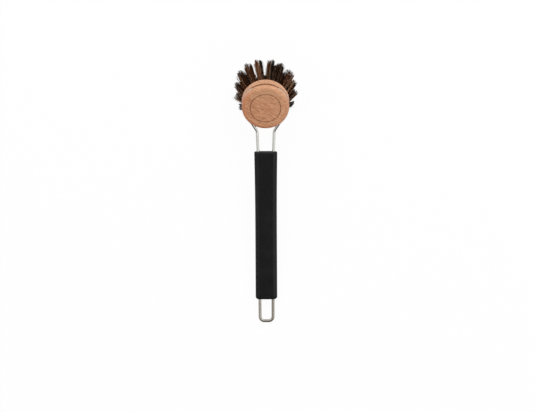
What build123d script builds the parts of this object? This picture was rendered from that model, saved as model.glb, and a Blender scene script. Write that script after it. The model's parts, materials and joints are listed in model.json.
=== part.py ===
from build123d import *
import os
from math import acos, asin, atan2, cos, degrees, hypot, radians, sin, sqrt, tan, tau

# Dish brush: one bent spring-steel wire, a silicone grip and a round beech head filled with horsehair.
# Sizes are in millimetres and angles in degrees.
# The handle frame has the neck on its X axis, both wire legs in its XY plane and the head towards +Y.
# The head frame starts on the head's axis, in the middle of the clip groove: +Z points out of the plain
# wooden face, -Z towards the bristles, and +Y away from the grip.
# At the end the brush is laid on a table: bristle tips and hanging loop touch it, and the face looks up.

# Spring wire
wire_diameter = 3.0
wire_end_rounding = 0.5
clip_mouth_angle = 35.0
neck_gap = 5.1
neck_bend_radius = 5.0
neck_length = 20.7
head_tilt = 18.3
leg_spacing = 15.1
leg_flare = 1.0
leg_taper = 1.1
knee_depth = 4.0
knee_bend_radius = 30.0
loop_length = 22.3
loop_corner_radius = 4.2
loop_corner_limit_share = 0.9

# Silicone grip
grip_length = 149.7
grip_side_wall = 1.77
grip_wall = 3.5
grip_flare = 0.7
grip_flare_length = 78.0
grip_edge_radius = 4.4
grip_top_rounding = 1.2
grip_end_rounding = 2.8
grip_bore_clearance = 0.03
edge_limit_share = 0.45
rim_limit_share = 0.9

# Wooden head
head_diameter = 47.4
face_wall = 4.8
bristle_wall = 9.1
face_edge_radius = 3.6
face_edge_limit_share = 0.8
underside_edge_radius = 1.0
wire_recess = 0.2
groove_clearance = 0.2
mark_margin = 8.5
mark_width = 0.8
mark_depth = 0.4

# Bristle tufts, their holes and the flat-wire anchors that hold them
hole_diameter = 3.6
hole_depth = 7.5
hole_wall = 2.1
hole_rim_margin = 6.0
added_per_ring = 5
splay_per_ring = 8.7
trim_depth = 24.7
tuft_spread = 2.1
tuft_proud = 0.5
tuft_clearance = 0.04
strand_embedding = 1.5
strand_width = 0.55
strand_margin = 0.15
outer_strands = 9
inner_strands = 3
inner_strand_share = 0.42
anchor_thickness = 0.45
anchor_height = 1.6
anchor_bite = 0.35
anchor_fold = 0.9
tip_flat = 0.5
overrun = 3.0

wire_radius = wire_diameter / 2
head_radius = head_diameter / 2
clip_radius = head_radius - wire_recess - wire_radius
groove_width = wire_diameter + 2 * groove_clearance
groove_core_radius = clip_radius - wire_radius - groove_clearance
face_level = groove_width / 2 + face_wall
underside_level = -groove_width / 2 - bristle_wall
neck_reach = head_radius + neck_gap
grip_end = neck_length + grip_length
loop_reach = grip_end + loop_length
leg_half = leg_spacing / 2
loop_half = leg_half - leg_taper
loop_corner = min(loop_corner_radius, loop_corner_limit_share * loop_half)
grip_half_width = leg_half + wire_radius + grip_side_wall
grip_half_thickness = wire_radius + grip_wall
grip_edge = min(grip_edge_radius, 2 * edge_limit_share * grip_half_thickness)
grip_end_edge = min(grip_end_rounding, rim_limit_share * grip_edge)
mark_radius = head_radius - mark_margin
root_radius = hole_diameter / 2 - tuft_clearance
ring_count = max(1, int((head_radius - hole_rim_margin) // (hole_diameter + hole_wall)))
ring_pitch = (head_radius - hole_rim_margin) / ring_count
head_place = Rot(head_tilt, 0, 0) * Pos(0, neck_reach, 0)


def on_head(radius, angle_from_neck, side):
    """A point of the clip's plane, in the handle frame. The angle counts from the neck, towards one side."""
    x = side * radius * sin(angle_from_neck)
    y = -radius * cos(angle_from_neck)
    return (head_place * Pos(x, y, 0)).position


def clip_arc(side):
    """One arm of the open ring, from the wire's end to where it leaves the ring for the neck."""
    mouth = radians(180 - clip_mouth_angle)
    neck_distance = hypot(leg_half + leg_flare, neck_reach)
    leaves = atan2(leg_half + leg_flare, neck_reach) + acos(clip_radius / neck_distance)
    return [on_head(clip_radius, angle, side) for angle in (mouth, (mouth + leaves) / 2, leaves)]


def leg(side):
    """Corners of one leg, from the neck through the knee inside the grip to the hanging loop."""
    return [
        Vector(side * (leg_half + leg_flare), 0, 0),
        Vector(side * leg_half, -neck_length - knee_depth, 0),
        Vector(side * loop_half, -loop_reach, 0),
    ]


def make_wire(radius):
    """The whole wire as one rod of the given radius, with flat ends."""
    left, right = clip_arc(-1), clip_arc(1)
    bends = [neck_bend_radius, knee_bend_radius, loop_corner]
    frame = FilletPolyline(left[-1], *leg(-1), *reversed(leg(1)), right[-1], radius=bends + bends[::-1])
    path = Wire([ThreePointArc(*left), *frame.edges(), ThreePointArc(*reversed(right))])
    return sweep(Plane(origin=path @ 0, z_dir=path % 0) * Circle(radius), path=path)


def make_frame():
    """The bent wire with its two free ends rounded."""
    rod = make_wire(wire_radius)
    return fillet(rod.faces().filter_by(GeomType.PLANE).edges(), wire_end_rounding)


def make_grip():
    """A flat sleeve with rounded edges, a little wider towards the head, with one bore for each leg."""
    half = grip_half_width
    top = -neck_length
    waist = top - grip_flare_length
    side = Line((half, -grip_end), (half, waist))
    flare = TangentArc((half, waist), (half + grip_flare, top), tangent=(0, 1))
    rims = [Line((-half, -grip_end), (half, -grip_end)), Line((-half - grip_flare, top), (half + grip_flare, top))]
    outline = make_face([side, flare, side.mirror(Plane.YZ), flare.mirror(Plane.YZ), *rims])
    body = extrude(outline, amount=grip_half_thickness, both=True)
    rim_edges = body.faces().filter_by(Axis.Y).edges()
    body = fillet(body.edges() - rim_edges, grip_edge)
    body = fillet(body.faces().sort_by(Axis.Y)[-1].edges(), min(grip_top_rounding, grip_end_edge))
    body = fillet(body.faces().sort_by(Axis.Y)[0].edges(), grip_end_edge)
    return body - make_wire(wire_radius + grip_bore_clearance)


def tuft_places():
    """Where each tuft leaves the underside, by its name, with the number of its ring.

    In each place +Z points straight down from the underside and +Y away from the head's axis.
    """
    places = {}
    for ring in range(ring_count + 1):
        count = 1 + added_per_ring * ring
        for number in range(count):
            turn = 360 / count * (number + 0.5)
            place = Rot(0, 0, turn) * Pos(0, -ring * ring_pitch, underside_level) * Rot(180, 0, 0)
            places[f"tuft_ring_{ring}_{number + 1:02d}"] = (ring, place)
    return places


def hole_tilt(ring):
    """The slant of a ring's holes. The anchors of the last ring are turned, so that they miss each other."""
    return Rot(-ring * splay_per_ring, 0, 0) * Rot(0, 0, 90 if ring == ring_count else 0)


def make_tuft(ring):
    """One tuft of a ring: the folded root in its hole, with strands that fan out to the trimmed end."""
    root = extrude(Pos(0, 0, -hole_depth) * Circle(root_radius), hole_depth + tuft_proud)
    slant = Vector(0, tan(radians(ring * splay_per_ring)), 1)
    foot_radius = root_radius - strand_margin - strand_width / sqrt(2)
    strands = []
    for count, share in ((inner_strands, inner_strand_share), (outer_strands, 1.0)):
        for number in range(count):
            angle = tau * number / count
            outward = Vector(cos(angle), sin(angle), 0)
            foot = outward * foot_radius * share - slant * strand_embedding
            lean = outward * tuft_spread * share + slant * (trim_depth + strand_embedding)
            section = Pos(foot) * Rot(0, 0, degrees(angle)) * Rectangle(strand_width, strand_width)
            strands.append(extrude(section, amount=lean.length, dir=lean))
    return hole_tilt(ring) * (root - make_anchor()) + strands


def make_anchor():
    """The flat wire driven across the folded root, which bites into the wood on both sides."""
    middle = -hole_depth + anchor_fold + anchor_height / 2
    return Pos(0, 0, middle) * Box(hole_diameter + 2 * anchor_bite, anchor_thickness, anchor_height)


def make_head_block(holes, anchors):
    """The turned beech disc with its clip groove, a ring mark on its face and a hole for each tuft."""
    middle = (face_level + underside_level) / 2
    block = Pos(0, 0, middle) * Cylinder(head_radius, face_level - underside_level)
    face_edge = min(face_edge_radius, face_edge_limit_share * face_wall)
    block = fillet(block.edges().group_by(Axis.Z)[-1], face_edge)
    block = fillet(block.edges().group_by(Axis.Z)[0], underside_edge_radius)
    block -= Cylinder(head_radius + overrun, groove_width) - Cylinder(groove_core_radius, groove_width)
    mark = Cylinder(mark_radius + mark_width / 2, 2 * mark_depth)
    mark -= Cylinder(mark_radius - mark_width / 2, 2 * mark_depth)
    return block - [Pos(0, 0, face_level) * mark] - holes - anchors


def lying_slope(tips):
    """How far the handle slopes when its tail and the lowest bristle tips rest on a table.

    The tail rests on the wire of the loop or, beside a short loop, on the lower edge of the grip.
    Gives the slope, and the height of the handle's origin above the table.
    """
    loop_rest = (loop_reach, 0, wire_radius)
    grip_rest = (grip_end - grip_end_edge, grip_half_thickness - grip_end_edge, grip_end_edge)
    rests = []
    for reach, depth, radius in (loop_rest, grip_rest):
        slopes = []
        for tip in tips:
            along, down = tip.Y + reach, -tip.Z - depth
            slopes.append(atan2(down, along) - asin((radius + tip_flat) / hypot(along, down)))
        slope = max(slopes)
        rests.append((slope, radius + reach * sin(slope) + depth * cos(slope)))
    return min(rests)


def make_brush():
    """Every piece of the brush, by name, in the handle frame."""
    places = tuft_places()
    tufts = [make_tuft(ring) for ring in range(ring_count + 1)]
    hole = extrude(Pos(0, 0, -hole_depth) * Circle(hole_diameter / 2), hole_depth + overrun)
    holes = [place * hole_tilt(ring) * hole for ring, place in places.values()]
    anchors = [place * hole_tilt(ring) * make_anchor() for ring, place in places.values()]
    pieces = {
        "wire_frame": make_frame(),
        "grip": make_grip(),
        "head_block": head_place * make_head_block(holes, anchors),
        "tuft_anchors": Compound([head_place * anchor for anchor in anchors]),
    }
    for name, (ring, place) in places.items():
        pieces[name] = head_place * place * tufts[ring]
    return pieces


def lay_down(pieces):
    """Lays the brush on the table, centres its outline on the origin and flattens the tips it rests on."""
    tufts = [name for name in pieces if name.startswith("tuft_ring")]
    slope, height = lying_slope([corner.center() for name in tufts for corner in pieces[name].vertices()])
    turn = Rot(degrees(slope), 0, 0)
    box = Compound([turn * piece for piece in pieces.values()]).bounding_box()
    lay = Pos(0, -(box.min.Y + box.max.Y) / 2, height) * turn
    laid = {name: lay * piece for name, piece in pieces.items()}
    for name in tufts:
        if laid[name].bounding_box().min.Z < 0:
            laid[name] = split(laid[name], Plane.XY, keep=Keep.TOP)
    return laid, lay


pieces, lay = lay_down(make_brush())
os.makedirs("parts", exist_ok=True)
for name, piece in pieces.items():
    export_step(piece, f"parts/{name}.step")
head = lay * head_place
print("handle slope", lay.orientation.X)
print("head centre", head.position, "head axis", Plane(head).z_dir)
print("face centre", (head * Pos(0, 0, face_level)).position)
print("loop middle", (lay * Pos(0, -grip_end - loop_length / 2, 0)).position, "loop axis", Plane(lay).z_dir)
print("loop inside width", 2 * (loop_half - wire_radius), "length", loop_length - wire_radius)
print("grip lowest", pieces["grip"].bounding_box().min.Z)
print("whole", Compound(list(pieces.values())).bounding_box())
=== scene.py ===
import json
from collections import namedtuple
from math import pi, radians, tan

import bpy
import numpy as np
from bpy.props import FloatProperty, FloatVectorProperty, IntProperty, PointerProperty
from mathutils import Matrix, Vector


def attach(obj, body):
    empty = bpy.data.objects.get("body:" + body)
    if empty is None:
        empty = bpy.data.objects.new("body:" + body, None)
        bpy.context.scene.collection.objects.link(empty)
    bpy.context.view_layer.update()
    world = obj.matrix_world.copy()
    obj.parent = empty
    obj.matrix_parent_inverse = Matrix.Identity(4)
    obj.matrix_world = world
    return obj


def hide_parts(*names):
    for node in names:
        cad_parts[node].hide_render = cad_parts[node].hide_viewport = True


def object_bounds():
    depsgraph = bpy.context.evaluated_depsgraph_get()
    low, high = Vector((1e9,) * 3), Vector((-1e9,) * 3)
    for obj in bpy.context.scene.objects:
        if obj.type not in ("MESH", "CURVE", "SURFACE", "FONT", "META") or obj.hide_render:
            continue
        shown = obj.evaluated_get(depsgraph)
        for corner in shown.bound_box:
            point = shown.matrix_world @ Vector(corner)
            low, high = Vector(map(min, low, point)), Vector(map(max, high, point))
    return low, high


bl_info = {
    "name": "Dish Brush",
    "version": (1, 0, 0),
    "blender": (4, 5, 0),
    "location": "View3D > Sidebar > Dish Brush",
    "description": "Dresses a wire-handled dish brush: beech, spring wire, silicone and horsehair",
    "category": "Add Mesh",
}

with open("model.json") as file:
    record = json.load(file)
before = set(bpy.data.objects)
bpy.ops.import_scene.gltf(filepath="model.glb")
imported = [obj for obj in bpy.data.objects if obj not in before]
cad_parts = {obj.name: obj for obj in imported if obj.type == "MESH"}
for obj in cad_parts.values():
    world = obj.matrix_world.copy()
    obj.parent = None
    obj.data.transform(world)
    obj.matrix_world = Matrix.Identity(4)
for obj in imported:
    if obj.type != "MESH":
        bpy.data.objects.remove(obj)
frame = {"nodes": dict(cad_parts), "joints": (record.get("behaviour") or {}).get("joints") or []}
cad_low, cad_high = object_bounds()

MM = 0.001
HEAD_JOINT = next(joint for joint in frame["joints"] if joint["name"] == "head_turn")
HEAD_CENTRE = Vector(HEAD_JOINT["pos_m"])
HEAD_AXIS = Vector(HEAD_JOINT["axis"]).normalized()


def head_matrix():
    """From the head's own frame to the row frame: +Z out of the wooden face, +Y away from the grip."""
    across = Vector((1, 0, 0))
    matrix = Matrix((across, HEAD_AXIS.cross(across), HEAD_AXIS)).transposed().to_4x4()
    matrix.translation = HEAD_CENTRE
    return matrix


def colour(name, default, description):
    """A colour that a user can change, as linear red, green and blue."""
    return FloatVectorProperty(
        name=name, description=description, default=default, subtype="COLOR", size=3, min=0, max=1
    )


def length(name, default, description):
    """A length that a user can change, in metres."""
    return FloatProperty(name=name, description=description, default=default, unit="LENGTH", precision=5)


def angle(name, default, description):
    """An angle that a user can change, given here in degrees."""
    return FloatProperty(name=name, description=description, default=radians(default), subtype="ANGLE")


def power(name, default, description):
    """The power of a lamp, in watts."""
    return FloatProperty(name=name, description=description, default=default, unit="POWER")


def share(name, default, description):
    """A share or brightness from 0 to 1."""
    return FloatProperty(name=name, description=description, default=default, min=0, max=1)


def whole(name, default, description, low=0, high=10000):
    """A whole number that a user can change."""
    return IntProperty(name=name, description=description, default=default, min=low, max=high)


class Value:
    """An output socket of a shader graph. Arithmetic on it adds Math nodes."""

    def __init__(self, graph, socket):
        self.graph = graph
        self.socket = socket

    def math(self, operation, *values):
        return self.graph.math(operation, *values)

    def __add__(self, other):
        return self.math("ADD", self, other)

    __radd__ = __add__

    def __sub__(self, other):
        return self.math("SUBTRACT", self, other)

    def __rsub__(self, other):
        return self.math("SUBTRACT", other, self)

    def __mul__(self, other):
        return self.math("MULTIPLY", self, other)

    __rmul__ = __mul__

    def __abs__(self):
        return self.math("ABSOLUTE", self)


class Graph:
    """A shader node tree, with short ways to add to it."""

    def __init__(self, tree):
        self.tree = tree

    def put(self, socket, value):
        """Links a value to an input socket, or sets a plain number or colour on it."""
        if isinstance(value, Value):
            self.tree.links.new(value.socket, socket)
        else:
            socket.default_value = value

    def node(self, kind, settings, inputs, output=0):
        """Adds one node: its settings first, then the values or links of its sockets."""
        node = self.tree.nodes.new(kind)
        for name, setting in settings.items():
            if name == "stops":
                ramp = node.color_ramp.elements
                while len(ramp) < len(setting):
                    ramp.new(1)
                for stop, (position, shade) in zip(ramp, setting):
                    stop.position = position
                    stop.color = (*shade, 1)
            else:
                setattr(node, name, setting)
        for name, value in inputs.items():
            self.put(node.inputs[name], value)
        return Value(self, node.outputs[output])

    def math(self, operation, *values):
        """One Math node."""
        return self.node("ShaderNodeMath", {"operation": operation}, dict(enumerate(values)))

    def mix(self, factor, first, second):
        """A blend of two colours."""
        first, second = (c if isinstance(c, Value) else (*c, 1) for c in (first, second))
        return self.node("ShaderNodeMix", {"data_type": "RGBA"}, {0: factor, 6: first, 7: second}, 2)

    def noise(self, place, scale, detail=2.0, roughness=0.5):
        """Cloudy noise from 0 to 1, with about this many clouds in a metre."""
        sockets = {"Vector": place, "Scale": scale, "Detail": detail, "Roughness": roughness}
        return self.node("ShaderNodeTexNoise", {}, sockets)

    def smooth(self, value, low, high):
        """0 below low, 1 above high, with a soft step between them."""
        settings = {"interpolation_type": "SMOOTHSTEP"}
        return self.node("ShaderNodeMapRange", settings, {"Value": value, "From Min": low, "From Max": high})

    def stretch(self, place, scale):
        """Coordinates scaled by a different number on each axis."""
        return self.node("ShaderNodeVectorMath", {"operation": "MULTIPLY"}, {0: place, 1: scale})

    def axes(self, place):
        """The X, Y and Z of a place."""
        split = self.node("ShaderNodeSeparateXYZ", {}, {0: place}).socket.node
        return [Value(self, output) for output in split.outputs]

    def bump(self, height, distance):
        """A bumpy normal from a height of 0 to 1."""
        return self.node("ShaderNodeBump", {}, {"Height": height, "Distance": distance}, "Normal")

    def backdrop(self, real, shown, amount, output_node):
        """Soft light meets the real shader; the camera and reflections see this much of the shown one."""
        rays = ("Is Camera Ray", "Is Glossy Ray", "Is Transmission Ray")
        camera, glossy, clear = (self.node("ShaderNodeLightPath", {}, {}, ray) for ray in rays)
        looks = self.math("MAXIMUM", self.math("MAXIMUM", camera, glossy), clear)
        mix = self.node("ShaderNodeMixShader", {}, {0: looks * amount, 1: real, 2: shown})
        self.put(self.tree.nodes[output_node].inputs["Surface"], mix)


class Finish(Graph):
    """The material of one surface, with its Principled shader."""

    def __init__(self, name):
        self.material = bpy.data.materials.new(name)
        self.material.use_nodes = True
        super().__init__(self.material.node_tree)
        self.shader = self.tree.nodes["Principled BSDF"]
        self.place = self.node("ShaderNodeTexCoord", {}, {}, "Object")

    def surface(self, **sockets):
        """Sets the shader's sockets, named with underscores for spaces."""
        for name, value in sockets.items():
            socket = self.shader.inputs[name.replace("_", " ")]
            if not isinstance(value, Value) and socket.type == "RGBA":
                value = (*value, 1)
            self.put(socket, value)
        return self.material


def dress(node_name, material):
    """Gives a CAD node its material."""
    node = frame["nodes"][node_name]
    node.data.materials.clear()
    node.data.materials.append(material)


def deselect_all():
    """Leaves nothing selected, because an operator acts on all that is."""
    for thing in bpy.context.selected_objects:
        thing.select_set(False)


class WoodSettings(bpy.types.PropertyGroup):
    pale: colour("Pale wood", (0.675, 0.347, 0.190), "Lightest tone of the beech")
    brown: colour("Brown wood", (0.455, 0.172, 0.077), "Darkest broad tone of the beech")
    fleck: colour("Fleck", (0.27, 0.10, 0.045), "Short dark rays in the grain")
    # Painted shade: a darker tone for the rounded edge of the face, laid on mostly at the lower left, away
    # from the lamps
    rim_shade: colour("Rim", (0.53, 0.18, 0.07), "Oiled wood of the rounded edge")
    # Painted sheen: a paler, yellower tone for the half away from the grip, where the lamp beyond the head
    # shines on it
    painted_sheen: colour("Honey", (0.52, 0.33, 0.175), "Yellower wood of the half away from the grip")
    # Besides the burnt ring mark, this colour is painted shade in the groove around the head
    burn_and_shade: colour("Burnt ring", (0.25, 0.085, 0.038), "Ring mark on the face")
    mark_radius: length("Mark radius", 15.2 * MM, "Radius of the ring mark")
    mark_width: length("Mark width", 0.8 * MM, "Width of the ring mark")
    grain_angle: angle("Grain angle", 24, "Turn of the grain across the face")


class SteelSettings(bpy.types.PropertyGroup):
    bright: colour("Bright steel", (0.66, 0.655, 0.625), "Clean drawn wire")
    # This colour darkens the wire towards the loop, more so on the right, where it is painted shade; the
    # anchors take it for scuffs
    dull: colour("Dull steel", (0.31, 0.286, 0.245), "Wire with a film from handling, near the loop")
    # Where the darkening towards the loop is half there, along the brush
    dull_end: length("Dull end", -85 * MM, "Where the film is half there, along the brush")


class SiliconeSettings(bpy.types.PropertyGroup):
    black: colour("Black", (0.0042, 0.0038, 0.0039), "Silicone of the grip")
    dusty: colour("Dusty black", (0.0080, 0.0074, 0.0076), "Silicone with a trace of dust")
    middle: length("Middle", -33 * MM, "Middle of the grip, along the brush")
    half_length: length("Half length", 73.5 * MM, "Where the matte ends begin, from the middle")
    half_width: length("Half width", 10.8 * MM, "Where the matte seams of the mould lie, from the axis")


class BristleSettings(bpy.types.PropertyGroup):
    hairs: whole("Hairs", 480, "Hairs in each tuft", 20, 600)
    locks: whole("Locks", 14, "Locks that the hairs of a tuft gather in", 1)
    segments: whole("Segments", 5, "Straight runs along each hair", 2)
    thickness: length("Thickness", 0.22 * MM, "Thickness of a hair at its root")
    tip_thickness: length("Tip thickness", 0.18 * MM, "Thickness of a hair at its tip")
    hole_radius: length("Hole radius", 1.7 * MM, "Radius of the tuft where it leaves the wood")
    tip_radius: length("Tip radius", 4.2 * MM, "Radius of the tuft at its tips")
    lock_push: length("Lock push", 0.55 * MM, "How far the tips of a lock are pushed aside")
    uneven: length("Uneven", 1.0 * MM, "How much shorter some locks are than others")
    root_depth: length("Root depth", 4 * MM, "How far the modelled hairs reach into the wood")
    trim_depth: length("Trim depth", 24.7 * MM, "Distance of the trimmed tips from the wood")
    underside: length("Underside", -10.8 * MM, "Height of the wood's underside in the head's frame")
    ring_pitch: length("Ring pitch", 5.9 * MM, "Distance between two rings of tufts")
    added_per_ring: whole("Added per ring", 5, "Further tufts in each ring")
    splay: angle("Splay", 8.7, "Further slant of each ring of tufts")
    seed: whole("Seed", 1, "Start of the random draws")


class StageSettings(bpy.types.PropertyGroup):
    height: length("Camera height", 6.0, "Height of the camera over the floor")
    floor_size: length("Floor size", 40.0, "Side of the square floor")
    key: power("Key lamp", 19, "Power of the lamp beyond the head")
    right: power("Right lamp", 11.2, "Power of the lamp on the right")
    left: power("Left lamp", 6.4, "Power of the lamp on the left")
    sky: share("Sky", 0.51, "Brightness of the surroundings, as light on the brush")
    ceiling: share("Ceiling", 0.62, "Brightness of the ceiling in reflections")
    dark_front: share("Dark front", 0.52, "How much darker the near side of the room is in reflections")
    paper: colour("Paper", (0.86, 0.86, 0.86), "Colour of the floor")
    floor_white: share("Floor white", 0.95, "Share of plain white in the floor that the camera sees")


# How often each noise of the wood repeats in a metre: along the grain, across it and into the wood.
BROAD_TONES = (40, 260, 160)
MOTTLE = (200, 620, 620)
FIBRES = (110, 1300, 1100)
RAYS = (330, 1400, 1000)


class WoodenHead(bpy.types.Operator):
    """Dresses the turned beech head with grain, short rays and its burnt ring mark, and paints some light and
    shade on it
    """

    bl_idname = "dish_brush.wooden_head"
    bl_label = "Wooden Head"

    def execute(self, context):
        wood = context.scene.brush_wood
        graph = Finish("beech")
        settings = {"operation": "SUBTRACT"}
        place = graph.node("ShaderNodeVectorMath", settings, {0: graph.place, 1: HEAD_CENTRE})
        tilt = HEAD_AXIS.rotation_difference(Vector((0, 0, 1))).to_euler()
        settings = {"rotation_type": "EULER_XYZ"}
        place = graph.node("ShaderNodeVectorRotate", settings, {"Vector": place, "Rotation": tilt})
        settings = {"rotation_type": "Z_AXIS"}
        grain = graph.node("ShaderNodeVectorRotate", settings, {"Vector": place, "Angle": wood.grain_angle})
        x, y, height = graph.axes(place)
        flat = graph.stretch(place, (1, 1, 0))
        radius = graph.node("ShaderNodeVectorMath", {"operation": "LENGTH"}, {0: flat}, "Value")

        broad = graph.noise(graph.stretch(grain, BROAD_TONES), 1.0, 2.0)
        mottle = graph.noise(graph.stretch(grain, MOTTLE), 1.0, 3.0, 0.6)
        fibre = graph.noise(graph.stretch(grain, FIBRES), 1.0, 4.0, 0.6)
        ray = graph.smooth(graph.noise(graph.stretch(grain, RAYS), 1.0, 1.0), 0.58, 0.68)

        wander = (graph.noise(place, 900.0) - 0.5) * (0.4 * MM)
        from_mark = abs(radius - wood.mark_radius + wander)
        mark = 1 - graph.smooth(from_mark, wood.mark_width * 0.3, wood.mark_width * 0.8)
        on_face = graph.smooth(height, 4 * MM, 5 * MM)
        mark = mark * on_face
        inside_groove = 1 - graph.smooth(radius, 22.9 * MM, 23.4 * MM)
        # Painted shade: inside the groove, where the lip above shades it
        groove_shade = (1 - graph.smooth(abs(height), 1.5 * MM, 1.9 * MM)) * inside_groove
        over_groove = graph.smooth(height, 1 * MM, 3 * MM)
        # Where the painted shade of the rounded edge lies
        rim_shade = graph.smooth(radius + (mottle - 0.5) * (3 * MM), 18.5 * MM, 22.5 * MM) * over_groove
        # Painted shade is strongest towards the lower left of the face
        left = 1 - graph.smooth(x + y, -20 * MM, 16 * MM)

        figure = graph.smooth(broad * 0.2 + mottle * 0.35 + fibre * 0.45, 0.37, 0.61)
        tone = graph.mix(figure, wood.brown, wood.pale)
        # Painted sheen: the half away from the grip is painted paler, as the lamp beyond the head lights it
        tone = graph.mix(graph.smooth(y, 4 * MM, 20 * MM) * 0.3, tone, wood.painted_sheen)
        # Painted light: the right of the face is painted paler, to make up for the light that falls off there
        tone = graph.mix(graph.smooth(x, 4 * MM, 16 * MM) * 0.4, tone, wood.pale)
        # Painted shade: the rounded edge is darkened a little all round and most at the lower left
        tone = graph.mix(rim_shade * (left * 0.6 + 0.1), tone, wood.rim_shade)
        tone = graph.mix(ray * 0.6, tone, wood.fleck)
        # The burnt ring mark, and painted shade in the groove
        burn_and_groove_shade = graph.math("MAXIMUM", mark * 0.7, groove_shade * 0.8)
        tone = graph.mix(burn_and_groove_shade, tone, wood.burn_and_shade)
        relief = fibre * 0.6 - ray * 0.4 - mark
        dress(
            "head_block",
            graph.surface(
                Base_Color=tone,
                Roughness=0.42 + fibre * 0.16 + mark * 0.1,
                Normal=graph.bump(relief, 0.08 * MM),
                Specular_IOR_Level=0.5,
            ),
        )
        return {"FINISHED"}


# How often the fine lines of the drawn wire repeat in a metre: across, along and through the brush.
DRAWN_LINES = (9000, 260, 9000)


class SpringWire(bpy.types.Operator):
    """Dresses the bent wire as bright drawn steel, darker towards the loop and with painted shade on its
    right
    """

    bl_idname = "dish_brush.spring_wire"
    bl_label = "Spring Wire"

    def execute(self, context):
        steel = context.scene.brush_steel
        graph = Finish("spring_steel")
        x, y = graph.axes(graph.place)[:2]
        # Darker towards the loop
        loop_dark_and_right_shade = 1 - graph.smooth(y, steel.dull_end - 30 * MM, steel.dull_end + 30 * MM)
        # Painted shade: the darkening is stronger on the right of the wire
        loop_dark_and_right_shade = loop_dark_and_right_shade * (0.7 + graph.smooth(x, -6 * MM, 4 * MM) * 0.25)
        loop_dark_and_right_shade = loop_dark_and_right_shade + graph.noise(graph.place, 120.0, 3.0) * 0.3
        drawn = graph.noise(graph.stretch(graph.place, DRAWN_LINES), 1.0, 2.0)
        dress(
            "wire_frame",
            graph.surface(
                Base_Color=graph.mix(loop_dark_and_right_shade, steel.bright, steel.dull),
                Metallic=1.0,
                Roughness=0.16 + loop_dark_and_right_shade * 0.1,
                Normal=graph.bump(drawn, 0.008 * MM),
            ),
        )
        return {"FINISHED"}


class TuftAnchors(bpy.types.Operator):
    """Dresses the flat slips of wire that hold the tufts in their holes"""

    bl_idname = "dish_brush.tuft_anchors"
    bl_label = "Tuft Anchors"

    def execute(self, context):
        steel = context.scene.brush_steel
        graph = Finish("anchor_steel")
        scuffs = graph.noise(graph.place, 2500.0, 3.0)
        dress(
            "tuft_anchors",
            graph.surface(
                Base_Color=graph.mix(scuffs, steel.bright, steel.dull),
                Metallic=1.0,
                Roughness=0.3 + scuffs * 0.2,
            ),
        )
        return {"FINISHED"}


class SiliconeGrip(bpy.types.Operator):
    """Dresses the grip as matte black silicone with a fine moulded texture"""

    bl_idname = "dish_brush.silicone_grip"
    bl_label = "Silicone Grip"

    def execute(self, context):
        silicone = context.scene.brush_silicone
        graph = Finish("black_silicone")
        dust = graph.noise(graph.place, 60.0, 4.0, 0.6)
        skin = graph.noise(graph.place, 4200.0, 2.0)
        x, y = graph.axes(graph.place)[:2]
        ends = graph.smooth(abs(y - silicone.middle), silicone.half_length - 2 * MM, silicone.half_length)
        seam = graph.smooth(abs(x), silicone.half_width - 1.2 * MM, silicone.half_width)
        matte = graph.math("MAXIMUM", ends, seam)
        dress(
            "grip",
            graph.surface(
                Base_Color=graph.mix(graph.smooth(dust, 0.4, 0.75), silicone.black, silicone.dusty),
                Roughness=0.29 + dust * 0.12 + matte * 0.5,
                Normal=graph.bump(skin, 0.03 * MM),
                Specular_IOR_Level=0.2,
            ),
        )
        return {"FINISHED"}


# The colours of hair, by tone from 0 to 1.
HAIR_COLOURS = [
    (0.0, (0.0014, 0.0010, 0.0009)),
    (0.35, (0.025, 0.0090, 0.0034)),
    (0.62, (0.125, 0.0385, 0.0110)),
    (0.82, (0.24, 0.076, 0.024)),
    (1.0, (0.42, 0.29, 0.19)),
]
LOCK_TONES = [0.1, 0.26, 0.4, 0.56, 0.7]  # tones that a lock may have
LOCK_TONE_SHARES = [0.3, 0.28, 0.2, 0.12, 0.1]  # how many locks have each of them
TONE_SCATTER = 0.21  # how far single hairs leave the tone of their lock
PALE_TONE = 0.97  # tone of the few pale hairs
PALE_SHARE = 0.04  # share of the hairs that are pale

LOCK_PLACES = 0.55  # how far from the middle of the tuft its locks stand, by its radius
GATHER = 0.14  # how far the tips draw in to the middle of their lock
STRAY_SHARE = 0.08  # share of the hairs that stray
STRAY_REACH = 3.5  # how much more the stray ones scatter
TIP_SCATTER = 0.25 * MM  # how far tips land from their place
LOCK_BOW = 0.45 * MM  # how far a lock bows on its way
HAIR_BOW = 0.3 * MM  # how far a hair bows besides
TRIM_SCATTER = 0.3 * MM  # how unevenly the tips are trimmed
OPENING = 0.7  # power of the way at which a tuft opens: under 1 it opens early
LEANING = 1.5  # power of the way at which a tuft leans: over 1 it leans late

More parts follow.
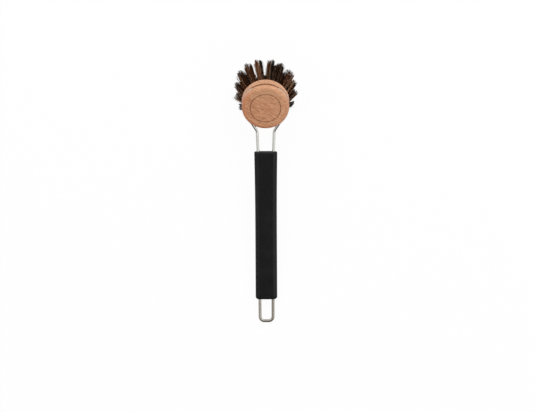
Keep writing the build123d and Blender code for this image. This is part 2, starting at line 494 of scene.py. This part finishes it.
# How the tufts that the camera sees differ. Their tips lean to the right and away from the grip, in
# millimetres. A tuft may spread wider, part in two halves, be darker on its right than on its left and
# be lighter or darker all over. The variant picks another random draw for its locks and hairs.
Shape = namedtuple("Shape", "right away spread parting warmth shade variant", defaults=(0, 0, 1, 0, 0, 0, 0))
SHAPES = {
    "tuft_ring_2_05": Shape(0.0, -1.5, variant=4),
    "tuft_ring_2_06": Shape(0.3, -4.8, 0.8, variant=28),
    "tuft_ring_2_07": Shape(-1.1, -3.0, 1.04, variant=40),
    "tuft_ring_3_03": Shape(1.0, 1.8, variant=11),
    "tuft_ring_3_04": Shape(-0.6, 2.8, 1.05, variant=17),
    "tuft_ring_3_05": Shape(-2.2, 2.0, 1.15, shade=-0.05, variant=22),
    "tuft_ring_3_06": Shape(-1.3, 0.2, 1.3, 0.8, shade=-0.05, variant=4),
    "tuft_ring_3_07": Shape(-1.7, 1.9, 1.1, 0.2, variant=4),
    "tuft_ring_3_08": Shape(-0.1, 0.6, 1.05, shade=0.03, variant=6),
    "tuft_ring_3_09": Shape(-0.8, 1.1, 1.0, 0.8, 0.22, 0.16, 23),
    "tuft_ring_3_10": Shape(-0.7, 0.8, 1.0, 0.7, shade=-0.04, variant=8),
    "tuft_ring_3_11": Shape(0.7, 0.7, 1.22, 0.4, 0.08, -0.05, 11),
    "tuft_ring_3_12": Shape(1.8, -0.2, 1.1, 0.3, 0.12, -0.03, 19),
    "tuft_ring_3_13": Shape(2.0, -1.1, 1.2, variant=29),
    "tuft_ring_3_14": Shape(0.9, -3.4, variant=32),
}


def model_hair(segments):
    """One straight three-sided hair of unit length and radius, as its corners and faces."""
    deselect_all()
    bpy.ops.mesh.primitive_cylinder_add(
        vertices=3, radius=1, depth=1, end_fill_type="NGON", location=(0, 0, 0.5)
    )
    bpy.ops.object.transform_apply(location=True)
    hair = bpy.context.active_object
    mesh = hair.data
    bpy.context.tool_settings.mesh_select_mode = (False, True, False)
    for part in (*mesh.vertices, *mesh.polygons):
        part.select = False
    for edge in mesh.edges:
        foot, tip = (mesh.vertices[corner].co.z for corner in edge.vertices)
        edge.select = abs(tip - foot) > 0.5
    bpy.ops.object.mode_set(mode="EDIT")
    bpy.ops.mesh.subdivide(number_cuts=segments - 1)
    bpy.ops.object.mode_set(mode="OBJECT")
    corners = np.array([vertex.co for vertex in mesh.vertices])
    faces = [tuple(face.vertices) for face in mesh.polygons]
    bpy.data.objects.remove(hair)
    return corners, faces


def hair_lines(draw, settings, splay, heights, shape, across, away):
    """Centre lines of one tuft's hairs, with the lock and the half of the tuft that each belongs to."""
    count, locks = settings.hairs, settings.locks
    reach = np.sqrt(draw.random(count))
    turn = 2 * pi * draw.random(count)
    feet = np.stack([reach * np.cos(turn), reach * np.sin(turn)], axis=1)
    middles = draw.normal(0, LOCK_PLACES, (locks, 2))
    lock = np.argmin(np.linalg.norm(feet[:, None] - middles[None], axis=2), axis=1)
    half = np.sign(feet @ across)
    tips = feet * settings.tip_radius * shape.spread
    gather = (middles[lock] * settings.tip_radius * shape.spread - tips) * GATHER
    push = draw.normal(0, settings.lock_push, (locks, 2))
    uneven = np.abs(draw.normal(0, settings.uneven, locks))
    stray = np.where(draw.random(count) < STRAY_SHARE, STRAY_REACH, 1.0)[:, None]
    tips = tips + gather + push[lock] + draw.normal(0, TIP_SCATTER, (count, 2)) * stray
    bow = draw.normal(0, LOCK_BOW, (locks, 2))[lock] + draw.normal(0, HAIR_BOW, (count, 2)) * stray
    trimmed = settings.trim_depth - np.abs(draw.normal(0, TRIM_SCATTER, count)) * stray[:, 0] - uneven[lock]

    along = heights[None, :, None]
    fan = np.clip((along * (settings.root_depth + settings.trim_depth) - settings.root_depth), 0, None)
    fan = fan / settings.trim_depth
    flare = fan**OPENING
    flat = feet[:, None] * settings.hole_radius * (1 - flare) + tips[:, None] * flare
    flat = flat + bow[:, None] * np.sin(pi * fan)
    depth = -settings.root_depth + heights[None, :] * (settings.root_depth + trimmed[:, None])
    lines = np.concatenate([flat, depth[:, :, None]], axis=2)
    lines[:, :, 1] += depth * tan(splay)
    lean = (across * shape.right + away * shape.away) + np.outer(half * shape.parting / 2, across)
    lines[:, :, :2] += fan**LEANING * (lean * MM)[:, None]
    return lines, lock, half


def thicken(draw, lines, corners, row, radii):
    """The corners of all hairs: the model hair stood along each centre line, twisted at random."""
    twist = 2 * pi * draw.random(len(lines))
    x, y = corners[:, 0], corners[:, 1]
    around = np.stack(
        [
            np.outer(np.cos(twist), x) - np.outer(np.sin(twist), y),
            np.outer(np.sin(twist), x) + np.outer(np.cos(twist), y),
        ],
        axis=2,
    )
    points = lines[:, row]
    points[:, :, :2] += around * radii[row][None, :, None]
    return points.reshape(-1, 3)


def hair_tones(draw, lock, half, shape, locks):
    """The tone of each hair: that of its lock, with some scatter and a few pale hairs."""
    tones = draw.choice(LOCK_TONES, locks, p=LOCK_TONE_SHARES)
    tones = tones[lock] + draw.normal(0, TONE_SCATTER, len(lock)) - half * shape.warmth + shape.shade
    tones = np.where(draw.random(len(lock)) < PALE_SHARE, PALE_TONE, tones)
    return np.clip(tones, 0, 1)


def hole_mouth(settings, ring, number):
    """From a tuft's own frame to the row frame: at the mouth of its hole, with +Z out of the wood."""
    turn = 2 * pi / (1 + settings.added_per_ring * ring) * (number - 0.5)
    place = head_matrix() @ Matrix.Rotation(turn, 4, "Z")
    place = place @ Matrix.Translation((0, -ring * settings.ring_pitch, settings.underside))
    return place @ Matrix.Rotation(pi, 4, "X")


class Bristles(bpy.types.Operator):
    """Grows a tuft of fine horsehair in each hole of the head"""

    bl_idname = "dish_brush.bristles"
    bl_label = "Bristles"

    def execute(self, context):
        settings = context.scene.brush_bristles
        graph = Finish("horsehair")
        tone = graph.node("ShaderNodeAttribute", {"attribute_name": "tone"}, {}, "Fac")
        tone = tone + (graph.noise(graph.place, 650.0, 2.0) - 0.5) * 0.5
        shade = graph.node("ShaderNodeValToRGB", {"stops": HAIR_COLOURS}, {0: tone}, "Color")
        hair_material = graph.surface(Base_Color=shade, Roughness=0.62 + tone * 0.1, Specular_IOR_Level=0.07)

        corners, faces = model_hair(settings.segments)
        heights, row = np.unique(corners[:, 2].round(5), return_inverse=True)
        radii = np.interp(heights, (0, 1), (settings.thickness / 2, settings.tip_thickness / 2))
        for node_name in sorted(name for name in frame["nodes"] if name.startswith("tuft_ring")):
            ring, number = (int(word) for word in node_name.split("_")[-2:])
            shape = SHAPES.get(node_name, Shape())
            draw = np.random.default_rng((settings.seed + shape.variant, ring, number))
            place = hole_mouth(settings, ring, number)
            to_tuft = place.to_3x3().inverted() @ head_matrix().to_3x3()
            ways = (np.array((to_tuft @ Vector(way)).xy) for way in ((1, 0, 0), (0, 1, 0)))
            lines, lock, half = hair_lines(draw, settings, ring * settings.splay, heights, shape, *ways)
            points = thicken(draw, lines, corners, row, radii)
            points = points @ np.array(place.to_3x3()).T + np.array(place.translation)
            points[:, 2] = np.maximum(points[:, 2], 0)

            count = len(corners)
            starts = range(0, len(points), count)
            all_faces = [tuple(start + corner for corner in face) for start in starts for face in faces]
            mesh = bpy.data.meshes.new(node_name.replace("tuft", "bristles"))
            mesh.from_pydata(points.tolist(), [], all_faces)
            tones = hair_tones(draw, lock, half, shape, settings.locks)
            mesh.attributes.new("tone", "FLOAT", "POINT").data.foreach_set(
                "value", np.repeat(tones, count).astype(np.float32)
            )
            mesh.materials.append(hair_material)
            mesh.shade_smooth()
            tuft = bpy.data.objects.new(mesh.name, mesh)
            context.scene.collection.objects.link(tuft)
            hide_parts(node_name)
            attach(tuft, "head")
        return {"FINISHED"}


def add_lamp(name, watts, place, aim, size):
    """One soft lamp of a width and a height, pointed at a place."""
    bpy.ops.object.light_add(type="AREA", location=place)
    lamp = bpy.context.active_object
    lamp.name = name
    lamp.data.shape = "RECTANGLE"
    lamp.data.size, lamp.data.size_y = size
    lamp.data.energy = watts
    lamp.rotation_euler = (Vector(aim) - Vector(place)).to_track_quat("-Z", "Y").to_euler()
    lamp.visible_camera = False


class Stage(bpy.types.Operator):
    """Sets the pale floor, the soft lamps and the camera straight above"""

    bl_idname = "dish_brush.stage"
    bl_label = "Stage"

    def execute(self, context):
        settings = context.scene.brush_stage
        deselect_all()
        bpy.ops.mesh.primitive_plane_add(size=settings.floor_size, location=(0, 0, -0.1 * MM))
        floor = context.active_object
        floor.name = "floor"
        graph = Finish("floor_paper")
        fibres = graph.noise(graph.place, 900.0, 3.0)
        paper = graph.surface(Base_Color=settings.paper, Roughness=0.8 + fibres * 0.1, Specular_IOR_Level=0.1)
        real = Value(graph, graph.shader.outputs[0])
        white = graph.node("ShaderNodeEmission", {}, {"Strength": 1.0})
        graph.backdrop(real, white, settings.floor_white, "Material Output")
        floor.data.materials.append(paper)

        world = bpy.data.worlds.new("studio")
        world.use_nodes = True
        context.scene.world = world
        graph = Graph(world.node_tree)
        direction = graph.node("ShaderNodeTexCoord", {}, {}, "Generated")
        x, y, z = graph.axes(direction)
        bright_wall = graph.smooth(x * 0.55 + y * 0.8, -0.1, 0.5) * (1 - graph.smooth(z, 0.5, 0.9))
        front = graph.smooth(0 - y, 0.3, 0.75)
        room = bright_wall * (1 - settings.ceiling) + settings.ceiling - front * settings.dark_front
        seen = graph.node("ShaderNodeLightPath", {}, {}, "Is Camera Ray")
        sky = graph.node("ShaderNodeBackground", {}, {"Strength": settings.sky})
        shown = graph.node("ShaderNodeBackground", {}, {"Strength": graph.math("MAXIMUM", room, seen)})
        graph.backdrop(sky, shown, 1.0, "World Output")

        add_lamp("key_lamp", settings.key, (0.0, 1.2, 1.05), (0, 0.03, 0.03), (2.8, 1.5))
        add_lamp("right_lamp", settings.right, (1.0, 0.1, 1.35), (0, 0, 0.03), (2.6, 1.0))
        add_lamp("left_lamp", settings.left, (-1.0, 0.1, 1.35), (0, 0, 0.03), (2.6, 1.0))

        # The picture's frame, and where the end of the loop and the axis of the brush lie in it.
        picture_width = 535
        picture_height = 412
        loop_end_pixel = 322.8
        axis_pixel = 266.0
        lean = radians(-0.29)
        metres_per_pixel = 1.0 * MM
        middle_height = 30 * MM  # half the height of the brush, where that scale holds
        aim_x = (picture_width / 2 - axis_pixel) * metres_per_pixel
        aim_y = cad_low.y + (loop_end_pixel - picture_height / 2) * metres_per_pixel
        bpy.ops.object.camera_add(location=(aim_x, aim_y, settings.height), rotation=(0, 0, lean))
        camera = context.active_object
        camera.data.lens = (
            camera.data.sensor_width * (settings.height - middle_height) / (picture_width * metres_per_pixel)
        )
        camera.data.clip_end = 100
        context.scene.camera = camera
        context.scene.view_settings.view_transform = "Standard"
        return {"FINISHED"}


class BrushPanel(bpy.types.Panel):
    """Lists the steps that dress the brush"""

    bl_idname = "VIEW3D_PT_dish_brush"
    bl_label = "Dish Brush"
    bl_space_type = "VIEW_3D"
    bl_region_type = "UI"
    bl_category = "Dish Brush"

    def draw(self, context):
        for step in STEPS:
            self.layout.operator(step.bl_idname)


STEPS = (Stage, WoodenHead, SpringWire, TuftAnchors, SiliconeGrip, Bristles)
SETTINGS = {
    "brush_wood": WoodSettings,
    "brush_steel": SteelSettings,
    "brush_silicone": SiliconeSettings,
    "brush_bristles": BristleSettings,
    "brush_stage": StageSettings,
}


def register():
    for cls in (*SETTINGS.values(), *STEPS, BrushPanel):
        bpy.utils.register_class(cls)
    for name, group in SETTINGS.items():
        setattr(bpy.types.Scene, name, PointerProperty(type=group))


def unregister():
    for name in SETTINGS:
        delattr(bpy.types.Scene, name)
    for cls in (BrushPanel, *STEPS, *SETTINGS.values()):
        bpy.utils.unregister_class(cls)


def main():
    register()
    bpy.ops.dish_brush.stage()
    bpy.ops.dish_brush.wooden_head()
    bpy.ops.dish_brush.spring_wire()
    bpy.ops.dish_brush.tuft_anchors()
    bpy.ops.dish_brush.silicone_grip()
    bpy.ops.dish_brush.bristles()


if __name__ == "__main__":
    main()
